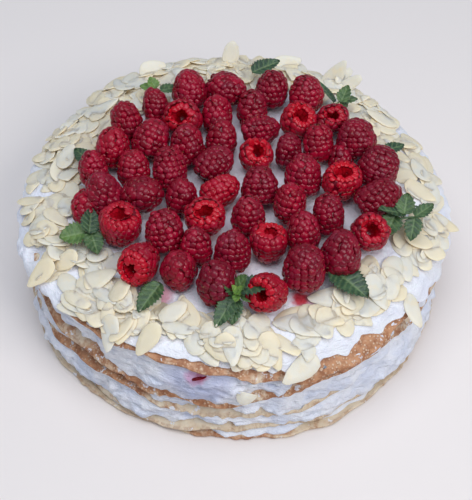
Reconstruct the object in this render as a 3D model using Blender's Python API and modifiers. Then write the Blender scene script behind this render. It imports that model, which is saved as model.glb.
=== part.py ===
"""A crepe cake: five crepes with cream between them, a cream top and a crown of raspberries.

Metres, +Z up. The origin is at the middle of the underside, and the front of the cake faces -Y.
Lengths are named in millimetres and turned into metres where the meshes are made.
"""

import math

import bmesh
import bpy
from mathutils import Vector

MM = 0.001

# Driving dimensions of the stack, in millimetres
GAP = 0.5  # clearance between two layers, and below each raspberry
CREPE = 2.2  # thickness of one crepe
FLAT_RADIUS = 85.0  # the layers are level out to here, and hang down beyond it
RIM_RADIUS = 119.0  # where a layer has reached its rim height
RINGS = (FLAT_RADIUS, 102.0, 111.0)  # mesh rings inside the rim
BEARINGS = 32  # divisions round the cake
WAVE = 0.6  # how far an outline wanders in and out

# name, thickness in the middle, thickness at the rim, radius, then the places where the rim is
# thicker and where the radius is larger, each as (bearing in degrees, half width in degrees, mm).
LAYERS = (
    ("crepe_1", CREPE, CREPE, 120.0, (), ((285, 45, 4.0), (90, 60, 3.5), (225, 30, 1.5))),
    ("cream_1", 10.0, 1.6, 117.0, ((262, 25, 1.0),), ()),
    ("crepe_2", CREPE, CREPE, 119.0, (), ((250, 30, 2.5), (295, 15, 1.5))),
    ("cream_2", 12.0, 12.0, 116.5, ((234, 30, 5.0), (270, 38, -5.0), (312, 30, 2.0)),
     ((310, 40, 4.0), (220, 30, 3.5))),
    ("crepe_3", CREPE, CREPE, 119.0, (), ((318, 34, -5.0),)),
    ("cream_3", 13.0, 11.5, 116.0, ((236, 30, -5.5), (296, 28, 4.0), (328, 32, -6.0), (205, 30, 4.0)),
     ((264, 26, 1.5), (212, 34, -4.5))),
    ("crepe_4", CREPE, CREPE, 118.5, (), ((228, 26, 1.0), (322, 24, -2.0))),
    ("cream_4", 14.0, 15.5, 115.5, ((250, 48, 9.0), (300, 34, -8.0)), ((262, 26, 2.5), (222, 26, -3.0))),
    ("crepe_5", CREPE, CREPE, 117.5, (), ((302, 34, 2.5), (195, 40, -1.5))),
    ("cream_top", 3.6, 2.6, 119.0, ((190, 50, 1.5),),
     ((268, 52, -6.0), (305, 16, 1.0), (180, 60, 2.0), (0, 40, 2.0))),
)

# Profile of one raspberry, tip upwards, from the tip down the outside and into the hollow:
# (share of the half width, share of the length)
BERRY_PROFILE = ((0.0, 1.0), (0.70, 0.82), (1.0, 0.45), (0.90, 0.13), (0.62, 0.0), (0.48, 0.06), (0.36, 0.5),
                 (0.0, 0.58))
BERRY_SEGMENTS = 8
SHOULDER = 3.0  # how full a raspberry's shoulders are taken to be, where 2 is an ellipsoid
CLOSEST = 1.02  # two raspberries keep this share of their joint reach between their middles
NUDGES = 150  # rounds of moving neighbours apart

# Raspberries as laid out by hand, in millimetres and degrees:
# name, x, y, width, length, the way the tip points (bearing, height). A tip below level shows the hollow.
RASPBERRIES = (
    ("a1", -28, 65, 21, 22, 100, 65),
    ("a2", -46, 54, 16, 20, 100, 60),
    ("a3", -31, 45, 22, 21, 75, -62),
    ("a4", -12, 44, 17, 21, 95, 60),
    ("a5", -5, 69, 20, 23, 320, 15),
    ("a6", -62, 39, 19, 22, 110, 60),
    ("a7", -48, 29, 20, 22, 60, 40),
    ("a8", -28, 25, 18, 22, 110, 60),
    ("a9", -9, 29, 17, 20, 80, 60),
    ("a10", -70, 19, 20, 21, 90, 70),
    ("a11", -77, 3, 16, 20, 100, 60),
    ("a12", -56, 4, 18, 20, 90, 65),
    ("a13", -36, 3, 20, 23, 95, 50),
    ("a14", -10, 8, 19, 22, 40, 25),
    ("b1", 19, 67, 20, 21, 80, 65),
    ("b2", 12, 53, 16, 20, 90, 60),
    ("b3", 13, 39, 18, 21, 10, 20),
    ("b4", 40, 64, 20, 21, 90, 60),
    ("b5", 36, 48, 21, 20, 120, -60),
    ("b6", 56, 46, 18, 20, 95, -68),
    ("b7", 68, 30, 22, 22, 100, 60),
    ("b8", 47, 27, 17, 21, 95, 60),
    ("b9", 12, 21, 19, 19, 90, -62),
    ("b10", 30, 20, 16, 20, 90, 60),
    ("b12", 38, 0, 20, 22, 90, 65),
    ("b13", 59, -3, 22, 21, 130, -80),
    ("b14", 79, 6, 22, 23, 60, 55),
    ("b15", 12, -8, 20, 21, 95, 60),
    ("b16", 79, -15, 21, 24, 20, 30),
    ("c1", -70, -13, 19, 21, 120, 60),
    ("c2", -50, -16, 20, 22, 330, 30),
    ("c3", -60, -38, 23, 21, 290, -84),
    ("c4", -36, -42, 20, 22, 100, 55),
    ("c5", -30, -16, 17, 20, 90, 70),
    ("c6", -9, -12, 18, 21, 30, 20),
    ("c7", -15, -27, 21, 20, 90, -80),
    ("c8", -20, -47, 16, 20, 90, 70),
    ("c9", -48, -62, 21, 22, 62, -28),
    ("c10", -28, -67, 19, 21, 270, 70),
    ("c11", -8, -75, 20, 22, 90, 75),
    ("c12", 1, -53, 19, 21, 100, 65),
    ("d1", 9, -32, 18, 22, 90, 65),
    ("d2", 30, -20, 19, 21, 80, 65),
    ("d3", 49, -28, 17, 21, 100, 60),
    ("d4", 35, -39, 19, 21, 100, 65),
    ("d5", 18, -45, 20, 19, 250, -82),
    ("d6", 71, -39, 20, 21, 95, -55),
    ("d7", 54, -55, 21, 22, 80, 60),
    ("d8", 37, -65, 22, 23, 90, 65),
    ("d9", 21, -77, 20, 21, 55, -35),
)

# Base colour (linear), roughness
LOOKS = {
    "crepe": ((0.38, 0.15, 0.05), 0.65),
    "cream": ((0.80, 0.80, 0.85), 0.45),
    "raspberry": ((0.30, 0.01, 0.025), 0.4),
}


def make_material(name):
    """Gives the material of that name, made from its colour and roughness the first time."""
    if name in bpy.data.materials:
        return bpy.data.materials[name]
    colour, roughness = LOOKS[name]
    material = bpy.data.materials.new(name)
    material.use_nodes = True
    shader = material.node_tree.nodes["Principled BSDF"]
    shader.inputs["Base Color"].default_value = (*colour, 1.0)
    shader.inputs["Roughness"].default_value = roughness
    shader.inputs["Metallic"].default_value = 0.0
    return material


def swell(bearing, places):
    """Sums the smooth bumps of (bearing, half width, height) at a bearing in radians."""
    total = 0.0
    for centre, half_width, height in places:
        away = abs((math.degrees(bearing) - centre + 180) % 360 - 180)
        if away < half_width:
            total += height * math.cos(math.pi / 2 * away / half_width) ** 2
    return total


def droop(radius):
    """Gives 0 on the level middle, growing to 1 at the rim, as a crepe's edge bends over."""
    return max(0.0, (radius - FLAT_RADIUS) / (RIM_RADIUS - FLAT_RADIUS)) ** 3


def straight_droop(radius):
    """Gives the droop as the mesh has it, straight between its rings, so that layers stay parallel."""
    stops = (0.0, *RINGS, RIM_RADIUS)
    outer = next((i for i in range(1, len(stops)) if radius <= stops[i]), len(stops) - 1)
    low, high = stops[outer - 1], stops[outer]
    share = (radius - low) / (high - low)
    return droop(low) * (1 - share) + droop(high) * share


def level(count, radius, bearing):
    """Gives the height of the top of the first count layers there."""
    middle = sum(layer[1] for layer in LAYERS[:count])
    rim = sum(layer[2] + swell(bearing, layer[4]) for layer in LAYERS[:count])
    return middle + (rim - middle) * straight_droop(radius)


def rim_radius(index, bearing):
    """Gives a layer's own radius at a bearing."""
    _, _, _, radius, _, places = LAYERS[index]
    wander = math.sin(5 * bearing + 1.7 * index) + 0.6 * math.sin(9 * bearing + 2.9 * index)
    return radius + swell(bearing, places) + WAVE * wander


def loft(name, rings, top_centre, under_centre):
    """Makes a closed disc through rings of points, out across the top and back across the underside.

    The quads of both faces are split along the same diagonal, so that stacked layers stay parallel.
    """
    shape = bmesh.new()
    loops = [[shape.verts.new(Vector(point) * MM) for point in ring] for ring in rings]
    top, under = (shape.verts.new(Vector(point) * MM) for point in (top_centre, under_centre))
    around = len(rings[0])
    for i in range(around):
        j = (i + 1) % around
        shape.faces.new((top, loops[0][i], loops[0][j]))
        shape.faces.new((under, loops[-1][j], loops[-1][i]))
        for step, (ahead, behind) in enumerate(zip(loops, loops[1:])):
            corners = (ahead[j], ahead[i], behind[i], behind[j])
            if step >= len(loops) // 2:
                corners = corners[1:] + corners[:1]
            shape.faces.new(corners)
    bmesh.ops.triangulate(shape, faces=shape.faces, quad_method="FIXED")
    mesh = bpy.data.meshes.new(name)
    shape.to_mesh(mesh)
    shape.free()
    mesh.shade_smooth()
    mesh.set_sharp_from_angle(angle=math.radians(40))
    return mesh


def make_layer(index, collection):
    """Makes one crepe or one bed of cream, from the top of the layer below to its own top."""
    name = LAYERS[index][0]
    angles = [2 * math.pi * i / BEARINGS for i in range(BEARINGS)]

    def ring(radius_of, count, offset):
        points = []
        for bearing in angles:
            radius = radius_of(bearing)
            height = level(count, radius, bearing) + offset
            points.append((radius * math.cos(bearing), radius * math.sin(bearing), height))
        return points

    radii = [lambda bearing, r=r: r for r in RINGS] + [lambda bearing: rim_radius(index, bearing)]
    above = [ring(radius_of, index + 1, -GAP / 2) for radius_of in radii]
    underside = 0.0 if index == 0 else GAP / 2
    below = [ring(radius_of, index, underside) for radius_of in reversed(radii)]
    top_centre = (0, 0, level(index + 1, 0, 0) - GAP / 2)
    under_centre = (0, 0, level(index, 0, 0) + underside)
    mesh = loft(name, above + below, top_centre, under_centre)
    layer = bpy.data.objects.new(name, mesh)
    layer.data.materials.append(make_material(name.split("_")[0]))
    collection.objects.link(layer)


def make_berry_mesh():
    """Makes the shared raspberry, one unit wide and long, its tip towards +Z and its middle at the origin."""
    mesh = bpy.data.meshes.new("raspberry")
    points = [(share / 2, 0.0, height - 0.5) for share, height in BERRY_PROFILE]
    mesh.from_pydata(points, [(i, i + 1) for i in range(len(points) - 1)], [])
    mesh.materials.append(make_material("raspberry"))
    return mesh


def berry_axis(bearing, height):
    """Gives the unit vector from a raspberry's hollow end to its tip."""
    bearing, height = math.radians(bearing), math.radians(height)
    level_share = math.cos(height)
    return Vector((math.cos(bearing) * level_share, math.sin(bearing) * level_share, math.sin(height)))


def berry_turn(bearing, height):
    """Gives the rotation that lays a raspberry along its axis."""
    return (0.0, math.radians(90 - height), math.radians(bearing))


def berry_drop(row):
    """Gives how far a raspberry reaches below its middle."""
    _, _, _, width, length, _, height = row
    upright, flat = math.sin(math.radians(height)), math.cos(math.radians(height))
    return max(share / 2 * width * flat - (along - 0.5) * length * upright for share, along in BERRY_PROFILE)


def berry_reach(row, towards):
    """Gives how far a raspberry, taken as a body with full shoulders, reaches from its middle one way."""
    _, _, _, width, length, bearing, height = row
    along = abs(towards.normalized().dot(berry_axis(bearing, height)))
    across = math.sqrt(1 - min(along, 1) ** 2)
    return 0.5 / ((along / length) ** SHOULDER + (across / width) ** SHOULDER) ** (1 / SHOULDER)


def berry_middles(floor):
    """Places the raspberries on the cream at that height, and moves neighbours apart until none touch."""
    middles = [Vector((row[1], row[2], floor + GAP + berry_drop(row))) for row in RASPBERRIES]
    pairs = [(i, j) for j in range(len(middles)) for i in range(j)]
    for _ in range(NUDGES):
        for i, j in pairs:
            between = middles[j] - middles[i]
            reach = berry_reach(RASPBERRIES[i], between) + berry_reach(RASPBERRIES[j], between)
            short = CLOSEST * reach - between.length
            if short > 0:
                step = Vector((between.x, between.y, 0)).normalized() * short / 2
                middles[i] -= step
                middles[j] += step
    return middles


def make_raspberries(collection):
    """Makes the raspberries, which share one mesh and differ in size, lean and place."""
    mesh = make_berry_mesh()
    floor = level(len(LAYERS), 0, 0)
    for row, middle in zip(RASPBERRIES, berry_middles(floor)):
        name, _, _, width, length, bearing, height = row
        berry = bpy.data.objects.new(f"raspberry_{name}", mesh)
        berry.location = middle * MM
        berry.rotation_euler = berry_turn(bearing, height)
        berry.scale = (width * MM, width * MM, length * MM)
        screw = berry.modifiers.new("turn", "SCREW")
        screw.steps = BERRY_SEGMENTS
        screw.render_steps = BERRY_SEGMENTS
        screw.use_merge_vertices = True
        screw.merge_threshold = 1e-5
        collection.objects.link(berry)


def clear_scene():
    for obj in list(bpy.data.objects):
        bpy.data.objects.remove(obj, do_unlink=True)


def main():
    clear_scene()
    cake = bpy.data.collections.new("crepe_cake")
    bpy.context.scene.collection.children.link(cake)
    for index in range(len(LAYERS)):
        make_layer(index, cake)
    make_raspberries(cake)


main()
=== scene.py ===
"""Looks of a crepe cake: ragged crepes with cream between them, cream on top, raspberries, flaked almonds and mint.

Lengths are named in millimetres and turned into metres where a mesh is made. A bearing runs round the cake
from +X, and the front of the cake is at 270 degrees. Everything that varies by chance has a fixed seed.
"""

import math

import bpy
import numpy as np
from mathutils import Euler, Matrix, Vector


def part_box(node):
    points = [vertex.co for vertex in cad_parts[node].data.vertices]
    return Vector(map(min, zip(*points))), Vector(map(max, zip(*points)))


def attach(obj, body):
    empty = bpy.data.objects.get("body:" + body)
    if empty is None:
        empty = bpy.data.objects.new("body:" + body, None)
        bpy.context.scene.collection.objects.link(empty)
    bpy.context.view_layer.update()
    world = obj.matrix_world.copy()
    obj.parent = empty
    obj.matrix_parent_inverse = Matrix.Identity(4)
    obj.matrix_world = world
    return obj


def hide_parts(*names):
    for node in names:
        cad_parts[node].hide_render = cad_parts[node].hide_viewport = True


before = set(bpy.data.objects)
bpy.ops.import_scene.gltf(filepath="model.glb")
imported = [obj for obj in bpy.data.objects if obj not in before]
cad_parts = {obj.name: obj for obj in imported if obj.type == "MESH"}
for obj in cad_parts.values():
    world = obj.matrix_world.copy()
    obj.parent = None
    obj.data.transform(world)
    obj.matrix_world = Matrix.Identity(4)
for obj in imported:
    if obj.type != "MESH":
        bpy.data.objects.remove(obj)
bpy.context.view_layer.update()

MM = 0.001
BODY = "root"

# ---------------------------------------------------------------- the stack, as the CAD has it

CREPE = 2.2  # thickness of one crepe with its share of cream
FLAT_RADIUS = 85.0  # the layers are level out to here, and hang down beyond it
RIM_RADIUS = 119.0  # where a layer has reached its rim height
WAVE = 0.6  # how far an outline wanders in and out
HALF_GAP = 0.25  # half the clearance between two CAD layers

# name, thickness in the middle, thickness at the rim, radius, then the places where the rim is
# thicker and where the radius is larger, each as (bearing, half width in degrees, mm).
LAYERS = (
    ("crepe_1", CREPE, CREPE, 120.0, (), ((285, 45, 4.0), (90, 60, 3.5), (225, 30, 1.5))),
    ("cream_1", 10.0, 1.6, 117.0, ((262, 25, 1.0),), ()),
    ("crepe_2", CREPE, CREPE, 119.0, (), ((250, 30, 2.5), (295, 15, 1.5))),
    ("cream_2", 12.0, 12.0, 116.5, ((234, 30, 5.0), (270, 38, -5.0), (312, 30, 2.0)),
     ((310, 40, 4.0), (220, 30, 3.5))),
    ("crepe_3", CREPE, CREPE, 119.0, (), ((318, 34, -5.0),)),
    ("cream_3", 13.0, 11.5, 116.0, ((236, 30, -5.5), (296, 28, 4.0), (328, 32, -6.0), (205, 30, 4.0)),
     ((264, 26, 1.5), (212, 34, -4.5))),
    ("crepe_4", CREPE, CREPE, 118.5, (), ((228, 26, 1.0), (322, 24, -2.0))),
    ("cream_4", 14.0, 15.5, 115.5, ((250, 48, 9.0), (300, 34, -8.0)), ((262, 26, 2.5), (222, 26, -3.0))),
    ("crepe_5", CREPE, CREPE, 117.5, (), ((302, 34, 2.5), (195, 40, -1.5))),
    ("cream_top", 3.6, 2.6, 119.0, ((190, 50, 1.5),),
     ((268, 52, -6.0), (305, 16, 1.0), (180, 60, 2.0), (0, 40, 2.0))),
)
NAMES = [layer[0] for layer in LAYERS]


def smooth(low, high, value):
    """Gives 0 below low and 1 above high, easing between them."""
    share = np.clip((value - low) / (high - low), 0, 1)
    return share * share * (3 - 2 * share)


def swell(bearing, places):
    """Sums the smooth bumps of (bearing, half width, height) at bearings in radians."""
    total = np.zeros_like(bearing)
    for centre, half_width, height in places:
        away = np.abs((np.degrees(bearing) - centre + 180) % 360 - 180)
        total += np.where(away < half_width, height * np.cos(np.pi / 2 * away / half_width) ** 2, 0)
    return total


def droop(radius):
    """Gives 0 on the level middle, growing to 1 at the rim, as a crepe's edge bends over."""
    return np.maximum(0, (radius - FLAT_RADIUS) / (RIM_RADIUS - FLAT_RADIUS)) ** 3


def level(count, radius, bearing):
    """Gives the height of the top of the first count layers there."""
    middle = sum(layer[1] for layer in LAYERS[:count])
    rim = sum(layer[2] + swell(bearing, layer[4]) for layer in LAYERS[:count])
    return middle + (rim - middle) * droop(radius)


def rim_radius(index, bearing):
    """Gives a layer's own radius at a bearing."""
    _, _, _, radius, _, places = LAYERS[index]
    wander = np.sin(5 * bearing + 1.7 * index) + 0.6 * np.sin(9 * bearing + 2.9 * index)
    return radius + swell(bearing, places) + WAVE * wander


# ---------------------------------------------------------------- unevenness and meshes


def ripple(bearing, seed, low, high):
    """Gives a wander round the cake, about -1 to 1, with low to high waves in a turn."""
    draw = np.random.default_rng(seed)
    waves = np.arange(low, high + 1)
    phases = draw.uniform(0, 2 * np.pi, len(waves))
    sizes = draw.normal(size=len(waves))
    sizes *= 1 / np.linalg.norm(sizes)
    return np.cos(np.multiply.outer(bearing, waves) + phases) @ sizes


def rumple(points, size, seed):
    """Gives smooth bumps about size long, from -1 to 1, at points in millimetres."""
    spot = points / size + seed * 7.31
    cell = np.floor(spot).astype(np.int64)
    share = spot - cell
    ease = share**3 * (share * (share * 6 - 15) + 10)
    total = np.zeros(points.shape[:-1])
    for corner in np.ndindex(2, 2, 2):
        mixed = (cell + corner) @ np.array([374761393, 668265263, 1274126177])
        mixed = (mixed ^ (mixed >> 13)) * 1103515245
        height = ((mixed ^ (mixed >> 16)) & 0xFFFF) / 32767.5 - 1
        total += height * np.prod(np.where(np.array(corner) == 1, ease, 1 - ease), axis=-1)
    return total


def new_mesh(name, points, faces, attributes=None):
    """Makes a smooth mesh from points in millimetres and arrays of faces, one array for each count of corners."""
    mesh = bpy.data.meshes.new(name)
    mesh.vertices.add(len(points))
    mesh.vertices.foreach_set("co", (np.asarray(points) * MM).astype(np.float32).ravel())
    faces = [np.asarray(group) for group in faces]
    corners = np.concatenate([group.ravel() for group in faces])
    sizes = np.concatenate([np.full(len(group), group.shape[1]) for group in faces])
    mesh.loops.add(len(corners))
    mesh.loops.foreach_set("vertex_index", corners.astype(np.int32))
    mesh.polygons.add(len(sizes))
    mesh.polygons.foreach_set("loop_start", (np.cumsum(sizes) - sizes).astype(np.int32))
    mesh.polygons.foreach_set("use_smooth", np.ones(len(sizes), bool))
    mesh.update(calc_edges=True)
    for key, values in (attributes or {}).items():
        kind = "FLOAT_VECTOR" if np.ndim(values) == 2 else "FLOAT"
        layer = mesh.attributes.new(key, kind, "POINT")
        layer.data.foreach_set("vector" if kind == "FLOAT_VECTOR" else "value", np.ravel(values).astype(np.float32))
    return mesh


def new_piece(name, mesh, finish):
    """Puts a mesh into the scene as a piece with that finish."""
    piece = bpy.data.objects.new(name, mesh)
    if finish is not None:
        mesh.materials.clear()
        mesh.materials.append(finish)
    bpy.context.scene.collection.objects.link(piece)
    return piece


def disc_faces(rows, around):
    """Joins rows of points, each one turn round, and a point at each end, into a closed skin that faces out."""
    here = np.arange(around)
    there = (here + 1) % around
    quads = [
        np.stack([row * around + here, (row + 1) * around + here, (row + 1) * around + there, row * around + there], 1)
        for row in range(rows - 1)
    ]
    first, last, end = rows * around, rows * around + 1, (rows - 1) * around
    caps = [
        np.stack([np.full(around, first), here, there], 1),
        np.stack([np.full(around, last), end + there, end + here], 1),
    ]
    return [np.concatenate(quads), np.concatenate(caps)]


def disc_mesh(name, rows, attributes=None):
    """Makes a closed round mesh from rows of points, out across the top and back across the underside."""
    around = rows.shape[1]
    points = np.concatenate([rows.reshape(-1, 3), [rows[0].mean(0)], [rows[-1].mean(0)]])
    spread = {
        key: np.concatenate([values.ravel(), [values[0].mean()], [values[-1].mean()]])
        for key, values in (attributes or {}).items()
    }
    return new_mesh(name, points, disc_faces(len(rows), around), spread)


# ---------------------------------------------------------------- finishes


class Value:
    """A shader socket. Arithmetic on it adds Math nodes to its finish."""

    def __init__(self, finish, socket):
        self.finish, self.socket = finish, socket

    def math(self, operation, first, second):
        return self.finish.node("Math", {"operation": operation}, [first, second])

    def __add__(self, other):
        return self.math("ADD", self, other)

    def __sub__(self, other):
        return self.math("SUBTRACT", self, other)

    def __rsub__(self, other):
        return self.math("SUBTRACT", other, self)

    def __mul__(self, other):
        return self.math("MULTIPLY", self, other)

    def __truediv__(self, other):
        return self.math("DIVIDE", self, other)

    def __pow__(self, other):
        return self.math("POWER", self, other)

    __radd__ = __add__
    __rmul__ = __mul__


class Finish:
    """One food's surface: a Principled shader and the nodes that feed it."""

    def __init__(self, name, constants):
        self.material = bpy.data.materials.new(name)
        self.material.use_nodes = True
        self.tree = self.material.node_tree
        self.shader = self.tree.nodes["Principled BSDF"]
        for socket, value in constants.items():
            self.shader.inputs[socket].default_value = value
        self.place = self.node("TexCoord", output="Object")

    def node(self, kind, settings=None, sockets=(), output=0):
        """Adds a node: its settings first, then the values or links of its sockets."""
        node = self.tree.nodes.new("ShaderNode" + kind)
        for key, value in (settings or {}).items():
            if key == "stops":
                ramp = node.color_ramp
                ramp.elements.remove(ramp.elements[1])
                ramp.elements[0].position, ramp.elements[0].color = value[0]
                for position, colour in value[1:]:
                    ramp.elements.new(position).color = colour
            else:
                setattr(node, key, value)
        for key, value in sockets.items() if isinstance(sockets, dict) else enumerate(sockets):
            if isinstance(value, Value):
                self.tree.links.new(value.socket, node.inputs[key])
            else:
                node.inputs[key].default_value = value
        return Value(self, node.outputs[output])

    def mix(self, share, first, second, blend="MIX"):
        """Mixes two colours, the second by that share."""
        settings = {"data_type": "RGBA", "blend_type": blend, "clamp_factor": True}
        return self.node("Mix", settings, {0: share, 6: first, 7: second}, output=2)

    def blobs(self, size, detail=2.0, roughness=0.5, stretch=(1, 1, 1), seed=0.0):
        """Gives cloudy noise from 0 to 1, with patches about size millimetres across."""
        place = self.node("Mapping", sockets={"Vector": self.place, "Scale": stretch, "Location": (seed, seed, seed)})
        sockets = {"Vector": place, "Scale": 1 / (size * MM), "Detail": detail, "Roughness": roughness}
        return self.node("TexNoise", sockets=sockets)

    def cells(self, size, feature="F1", seed=0.0):
        """Gives the distance inside a pattern of cells about size millimetres across."""
        place = self.node("Mapping", sockets={"Vector": self.place, "Location": (seed, seed, seed)})
        return self.node("TexVoronoi", {"feature": feature}, {"Vector": place, "Scale": 1 / (size * MM)})

    def step(self, value, low, high):
        """Gives 0 where the value is under low and 1 where it is over high, easing between them."""
        settings = {"interpolation_type": "SMOOTHSTEP", "clamp": True}
        return self.node("MapRange", settings, {"Value": value, "From Min": low, "From Max": high})

    def mark(self, name):
        """Reads a number that the piece's mesh carries."""
        return self.node("Attribute", {"attribute_name": name}, output="Fac")

    def away(self, spot):
        """Gives the distance in millimetres from a spot given in millimetres."""
        centre = tuple(number * MM for number in spot)
        return self.node("VectorMath", {"operation": "DISTANCE"}, [self.place, centre], output="Value") * (1 / MM)

    def relief(self, height, depth, strength=1.0):
        """Feeds a height from 0 to 1 into the shader's normal, depth millimetres deep."""
        bump = self.node("Bump", sockets={"Strength": strength, "Distance": depth * MM, "Height": height})
        self.feed("Normal", bump)

    def feed(self, socket, value):
        self.tree.links.new(value.socket, self.shader.inputs[socket])


def paint(red, green, blue):
    """Turns a colour named as on a paint chart, 0 to 255, into the shader's linear colour."""
    linear = [((part / 255 + 0.055) / 1.055) ** 2.4 if part > 10 else part / 255 / 12.92 for part in (red, green, blue)]
    return (*linear, 1.0)


CREAM_WHITE = paint(242, 243, 251)
CREAM_SHADE = paint(222, 227, 243)


def cream_finish(name, stains_and_painted_light=(), soft=1.5, clear=0.2, shade=CREAM_SHADE):
    """Whipped cream: soft, faintly blue white, with stains and painted light and shade given as (spot, radius, colour,
    strength).
    """
    finish = Finish(name, {
        "Subsurface Weight": clear,
        "Subsurface Radius": (1.0, 0.9, 0.95),
        "Subsurface Scale": soft * MM,
        "Roughness": 0.5,
        "Specular IOR Level": 0.4,
    })
    colour = finish.mix(finish.step(finish.blobs(14, 3), 0.35, 0.7), CREAM_WHITE, shade)
    ragged = (finish.blobs(3.5, 3) - 0.5) * 5
    # each patch is a stain or painted light and shade, as each list says
    for spot, radius, tint, strength in stains_and_painted_light:
        mask = (1 - finish.step(finish.away(spot) + ragged, radius * 0.45, radius)) * strength
        colour = finish.mix(mask, colour, tint)
    finish.feed("Base Color", colour)
    streaks = finish.blobs(1.8, 4, 0.6, stretch=(0.6, 0.6, 2.4))
    finish.relief(streaks * 0.9 + finish.blobs(5, 3) * 0.9, 1.3, 1.0)
    return finish.material


def crepe_finish():
    """Fried crepe: pale batter and browned skin with pale bubbles, as the marks browning, lace and edge say."""
    finish = Finish("fried_crepe", {
        "Subsurface Weight": 0.12,
        "Subsurface Radius": (1.0, 0.6, 0.35),
        "Subsurface Scale": 1.5 * MM,
        "Roughness": 0.55,
    })
    browning, lace, edge = (finish.mark(name) for name in ("browning", "lace", "edge"))
    patches = finish.blobs(11, 4, 0.65)
    spots = finish.blobs(5, 3, 0.6, seed=0.31)
    fine = finish.blobs(1.3, 3, 0.6)
    bubbles = finish.cells(1.9)
    specks = finish.cells(2.6, seed=0.4)
    batter = finish.mix(finish.step(patches, 0.35, 0.7), paint(222, 206, 182), paint(206, 182, 150))
    brown = finish.mix(finish.step(spots + fine * 0.3, 0.5, 0.85), paint(194, 142, 104), paint(152, 97, 62))
    amount = finish.step(browning + (patches - 0.5) * 1.5 + (spots - 0.5) * 0.7 + (fine - 0.5) * 0.3, 0.3, 0.72)
    colour = finish.mix(amount, batter, brown)
    freckle = (1 - finish.step(bubbles, 0.16, 0.4)) * finish.step(lace + (patches - 0.5), 0.2, 0.6)
    colour = finish.mix(freckle * amount * 0.8, colour, paint(228, 200, 172))
    speck = (1 - finish.step(specks, 0.05, 0.16)) * (1 - amount) * finish.step(spots, 0.4, 0.6)
    colour = finish.mix(speck * 0.5, colour, paint(132, 100, 72))
    rim = edge * finish.step(spots + (fine - 0.5) * 0.5, 0.42, 0.6)
    colour = finish.mix(rim * 0.4, colour, paint(150, 98, 62))
    smear = finish.step(finish.blobs(6, 4, 0.65, seed=0.7) + (fine - 0.5) * 0.3, 0.62, 0.68)
    colour = finish.mix(smear * 0.85, colour, paint(228, 230, 238))
    finish.feed("Base Color", colour)
    finish.relief((1 - finish.step(bubbles, 0.1, 0.5)) * lace + fine * 0.5 + patches, 0.5, 0.8)
    finish.feed("Roughness", finish.blobs(4, 2) * 0.3 + 0.38)
    return finish.material


def raspberry_finish():
    """Raspberry skin: deep crimson with painted shade between the drupelets, a painted pale sheen on their tops, and
    blond hairs.
    """
    finish = Finish("raspberry", {
        "Subsurface Weight": 0.15,
        "Subsurface Radius": (1.0, 0.08, 0.08),
        "Subsurface Scale": 1.5 * MM,
        "Specular IOR Level": 0.32,
    })
    tone, depth, bright, hair, ripe = (finish.mark(name) for name in ("tone", "depth", "bright", "hair", "ripe"))
    patches = finish.blobs(9, 2)
    skin = finish.mix(tone, paint(114, 2, 26), paint(156, 8, 43))
    skin = finish.mix(ripe * 0.8, skin, paint(92, 2, 26))
    skin = finish.mix(bright, skin, paint(196, 12, 34))
    # painted shade: darker crimson towards each drupelet's base and on the core, in the crevices between the drupelets
    colour = finish.mix(finish.step(depth, 0.0, 0.5), paint(86, 1, 10), skin)
    # painted sheen: a pale pink-mauve sheen in patches on the drupelet tops
    painted_sheen = finish.step(patches, 0.42, 0.72) * finish.step(depth, 0.5, 1.0) * finish.step(finish.blobs(0.8, 2), 0.3, 0.7)
    colour = finish.mix(painted_sheen * 0.12, colour, paint(206, 110, 150))
    colour = finish.mix(hair, colour, paint(222, 168, 116))
    finish.feed("Base Color", colour)
    finish.feed("Roughness", patches * 0.14 + 0.08)
    finish.relief(finish.blobs(0.5, 2), 0.12, 0.5)
    return finish.material


def almond_finish():
    """Flaked almond: ivory, each flake its own tone, with a thin darker rim and faint rings."""
    finish = Finish("flaked_almond", {
        "Subsurface Weight": 0.5,
        "Subsurface Radius": (1.0, 0.85, 0.6),
        "Subsurface Scale": 2.5 * MM,
        "Roughness": 0.45,
    })
    tone, rim = finish.mark("tone"), finish.mark("rim")
    patches = finish.blobs(6, 3)
    colour = finish.mix(finish.step(tone, 0.2, 0.9), paint(246, 226, 192), paint(234, 227, 209))
    colour = finish.mix(finish.step(patches, 0.48, 0.75) * 0.5, colour, paint(246, 224, 184))
    colour = finish.mix(rim * 0.3, colour, paint(240, 218, 170))
    finish.feed("Base Color", colour)
    finish.relief(finish.blobs(0.9, 3) + patches, 0.2, 0.5)
    return finish.material


def mint_finish():
    """Mint leaf: dark blue-green with sunken paler veins, and yellow-green where it is young."""
    finish = Finish("mint", {"Subsurface Weight": 0.08, "Subsurface Scale": 0.8 * MM, "Roughness": 0.42})
    young, vein = finish.mark("young"), finish.mark("vein")
    patches = finish.blobs(4, 3)
    old = finish.mix(finish.step(patches, 0.35, 0.7), paint(34, 62, 44), paint(62, 92, 62))
    fresh = finish.mix(finish.step(patches, 0.35, 0.7), paint(84, 122, 46), paint(126, 158, 70))
    colour = finish.mix(young, old, fresh)
    colour = finish.mix(vein * 0.45, colour, paint(140, 164, 112))
    finish.feed("Base Color", colour)
    finish.relief(finish.blobs(0.7, 3) - vein, 0.3, 0.6)
    return finish.material


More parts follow.
